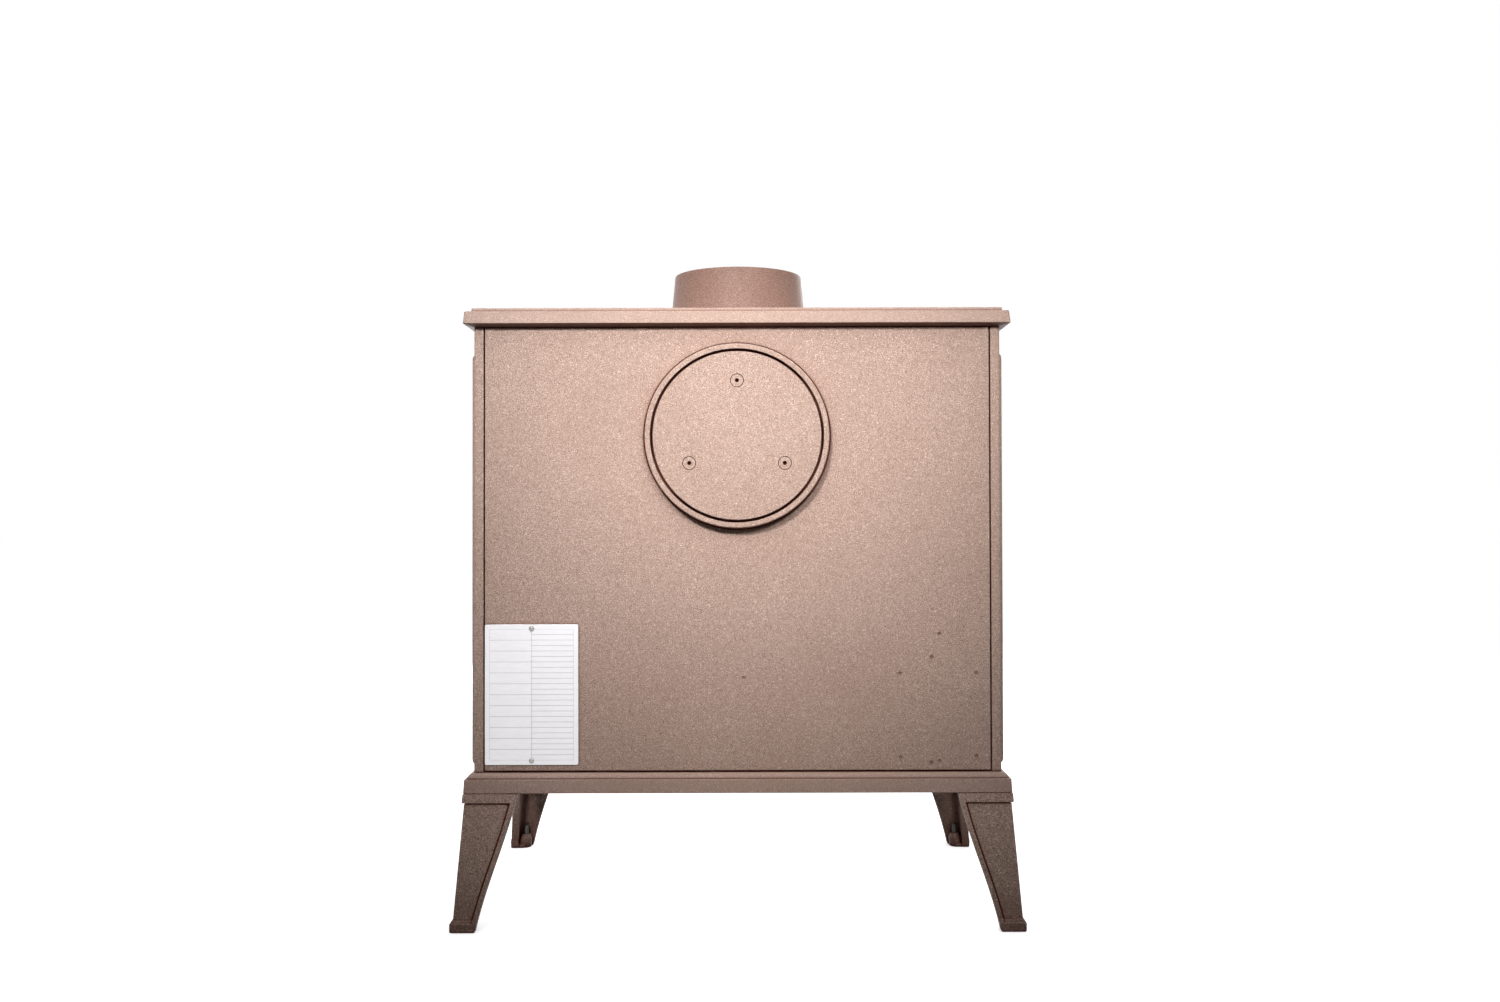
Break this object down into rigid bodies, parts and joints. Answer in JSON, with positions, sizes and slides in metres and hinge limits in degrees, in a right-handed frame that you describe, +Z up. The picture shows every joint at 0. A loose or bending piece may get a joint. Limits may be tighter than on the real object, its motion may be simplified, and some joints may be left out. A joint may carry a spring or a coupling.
{
  "type": "wood stove",
  "caption": "Cast iron wood stove on splayed angle-section legs, with a glazed door, an ash drawer, air slides, a top flue collar and a blanked rear outlet.",
  "frame": {"origin": "on the floor, below the middle of the overall width and depth", "axes": "+Z up, -Y to the front where the door is, +X to the right of someone facing the door"},
  "size_m": [0.6024, 0.4486, 0.7199],
  "materials": {
    "painted_iron": "bronze-brown metallic stove paint, finely speckled, over rough cast iron",
    "bare_iron": "bare dark grey cast iron",
    "steel": "plain steel",
    "dark_steel": "blackened steel",
    "plate_aluminium": "matt silver-white sheet, bare",
    "firebrick": "pale firebrick, unglazed",
    "glass_rope": "braided glass fibre",
    "grip_wood": "dark stained wood, oiled",
    "ceramic_glass": "clear ceramic glass, slightly smoked"
  },
  "bodies": {
    "stove": {"base_plate": "painted_iron", "side_plate_left": "painted_iron", "side_plate_right": "painted_iron", "rear_plate": "painted_iron", "front_plate": "painted_iron", "top_plate": "painted_iron", "flue_collar": "painted_iron", "blanking_plate": "painted_iron", "leg_front_left": "painted_iron", "leg_front_right": "painted_iron", "leg_rear_left": "painted_iron", "leg_rear_right": "painted_iron", "collar_screw_1": "painted_iron", "collar_screw_2": "painted_iron", "collar_screw_3": "painted_iron", "blanking_screw_1": "painted_iron", "blanking_screw_2": "painted_iron", "blanking_screw_3": "painted_iron", "hearth_plate": "bare_iron", "fire_grate": "bare_iron", "log_retainer": "bare_iron", "hinge_pin_lower": "steel", "hinge_pin_upper": "steel", "data_plate_screw_1": "steel", "data_plate_screw_2": "steel", "tie_bolt_front_left": "steel", "tie_bolt_front_right": "steel", "tie_bolt_rear_left": "steel", "tie_bolt_rear_right": "steel", "leg_bolt_front_left": "dark_steel", "leg_bolt_front_right": "dark_steel", "leg_bolt_rear_left": "dark_steel", "leg_bolt_rear_right": "dark_steel", "data_plate": "plate_aluminium", "side_liner_left": "firebrick", "side_liner_right": "firebrick", "rear_liner": "firebrick", "baffle_plate": "firebrick"},
    "door": {"door_frame": "painted_iron", "door_glass": "ceramic_glass", "glass_seal": "glass_rope", "glass_retainer": "steel", "glass_screw_1": "steel", "glass_screw_2": "steel", "door_seal": "glass_rope"},
    "handle": {"handle_shaft": "steel", "latch_tongue": "steel", "door_handle": "dark_steel", "handle_grip": "grip_wood"},
    "drawer": {"ash_drawer": "steel", "ash_drawer_front": "painted_iron", "ash_drawer_knob": "steel"},
    "primary_air": {"primary_air_slide": "dark_steel", "primary_air_knob": "steel"},
    "secondary_air": {"secondary_air_slide": "dark_steel", "secondary_air_knob": "steel"},
    "levelling_front_left": {"levelling_screw_front_left": "dark_steel"},
    "levelling_front_right": {"levelling_screw_front_right": "dark_steel"},
    "levelling_rear_left": {"levelling_screw_rear_left": "dark_steel"},
    "levelling_rear_right": {"levelling_screw_rear_right": "dark_steel"}
  },
  "joints": [
    {"name": "door_hinge", "type": "hinge", "parent": "stove", "child": "door", "pos_m": [-0.2244, -0.17137, 0.42765], "axis": [0, 0, -1], "range_deg": [0, 115]},
    {"name": "handle_turn", "type": "hinge", "parent": "door", "child": "handle", "pos_m": [0.1964, -0.17837, 0.42765], "axis": [0, 1, 0], "range_deg": [0, 35]},
    {"name": "ash_drawer_slide", "type": "slide", "parent": "stove", "child": "drawer", "axis": [0, -1, 0], "range_m": [0, 0.22]},
    {"name": "primary_air_slide", "type": "slide", "parent": "stove", "child": "primary_air", "axis": [1, 0, 0], "range_m": [0, 0.03]},
    {"name": "secondary_air_slide", "type": "slide", "parent": "stove", "child": "secondary_air", "axis": [1, 0, 0], "range_m": [0, 0.03]},
    {"name": "levelling_front_left_screw", "type": "slide", "parent": "stove", "child": "levelling_front_left", "axis": [0, 0, -1], "range_m": [0, 0.01]},
    {"name": "levelling_front_right_screw", "type": "slide", "parent": "stove", "child": "levelling_front_right", "axis": [0, 0, -1], "range_m": [0, 0.01]},
    {"name": "levelling_rear_left_screw", "type": "slide", "parent": "stove", "child": "levelling_rear_left", "axis": [0, 0, -1], "range_m": [0, 0.01]},
    {"name": "levelling_rear_right_screw", "type": "slide", "parent": "stove", "child": "levelling_rear_right", "axis": [0, 0, -1], "range_m": [0, 0.01]}
  ]
}
